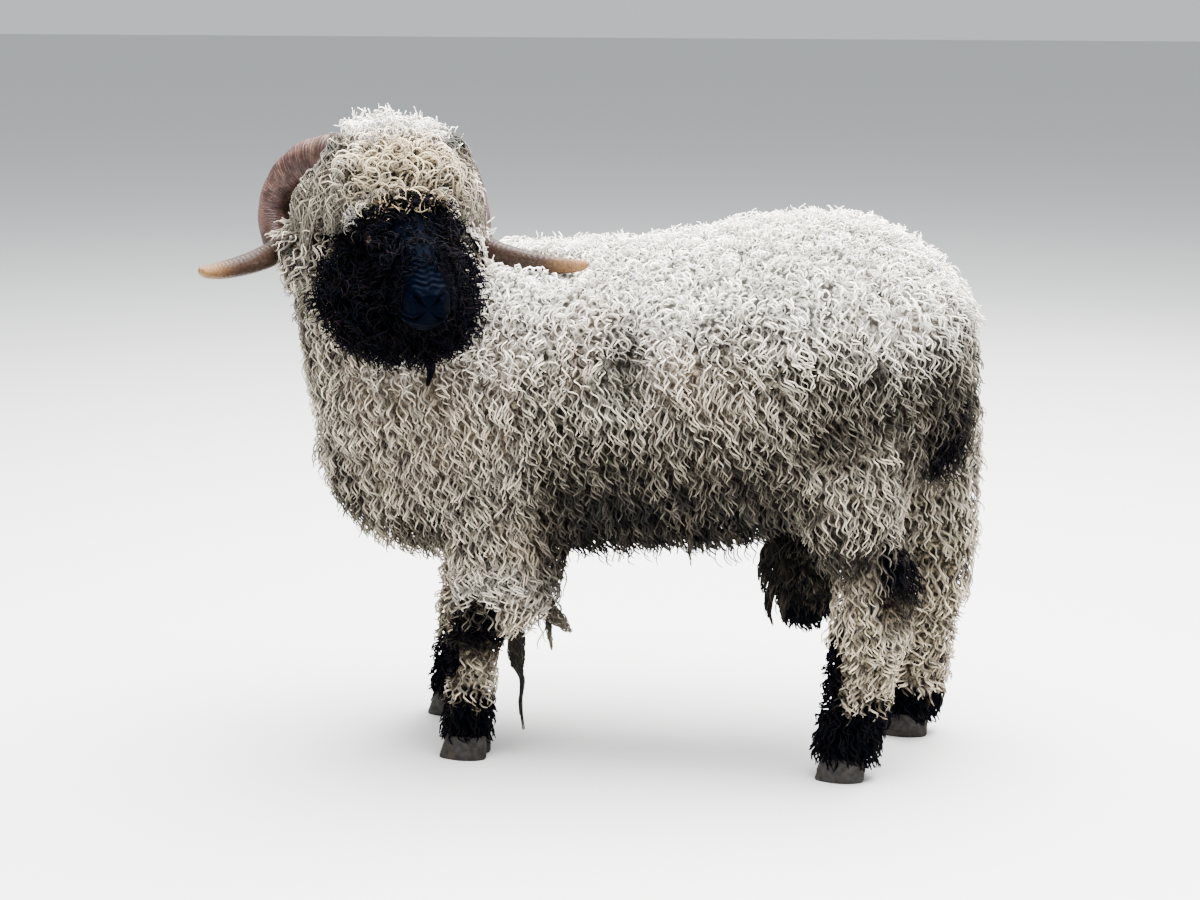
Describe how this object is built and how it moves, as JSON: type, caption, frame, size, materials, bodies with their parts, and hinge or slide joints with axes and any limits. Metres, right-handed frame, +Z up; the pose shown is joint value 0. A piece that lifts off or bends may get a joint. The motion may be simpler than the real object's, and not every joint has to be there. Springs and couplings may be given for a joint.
{
  "type": "valais blacknose ram",
  "caption": "Life-size still model of a long-woolled horned ram, standing square with its head turned to its left.",
  "frame": {"origin": "on the floor, under the middle of the whole ram's bounding box", "axes": "+Z up, the ram faces -X, its left side is towards -Y"},
  "size_m": [1.209, 0.6882, 1.093],
  "materials": {
    "fleece": "matt curled wool",
    "black_wool": "soft black wool",
    "dark_skin": "dark skin with short wool",
    "horn": "ringed horn",
    "hoof": "dull hoof horn",
    "eye": "wet eye"
  },
  "bodies": {
    "root": {"torso": "fleece", "neck": "fleece", "tail": "fleece", "head": "black_wool", "scrotum": "dark_skin", "foreleg_left": "fleece", "foreleg_right": "fleece", "hindleg_left": "fleece", "hindleg_right": "fleece", "ear_left": "black_wool", "ear_right": "black_wool", "eye_left": "eye", "eye_right": "eye", "horn_left": "horn", "horn_right": "horn", "hoof_fore_left_a": "hoof", "hoof_fore_left_b": "hoof", "hoof_fore_right_a": "hoof", "hoof_fore_right_b": "hoof", "hoof_hind_left_a": "hoof", "hoof_hind_left_b": "hoof", "hoof_hind_right_a": "hoof", "hoof_hind_right_b": "hoof"}
  },
  "joints": []
}
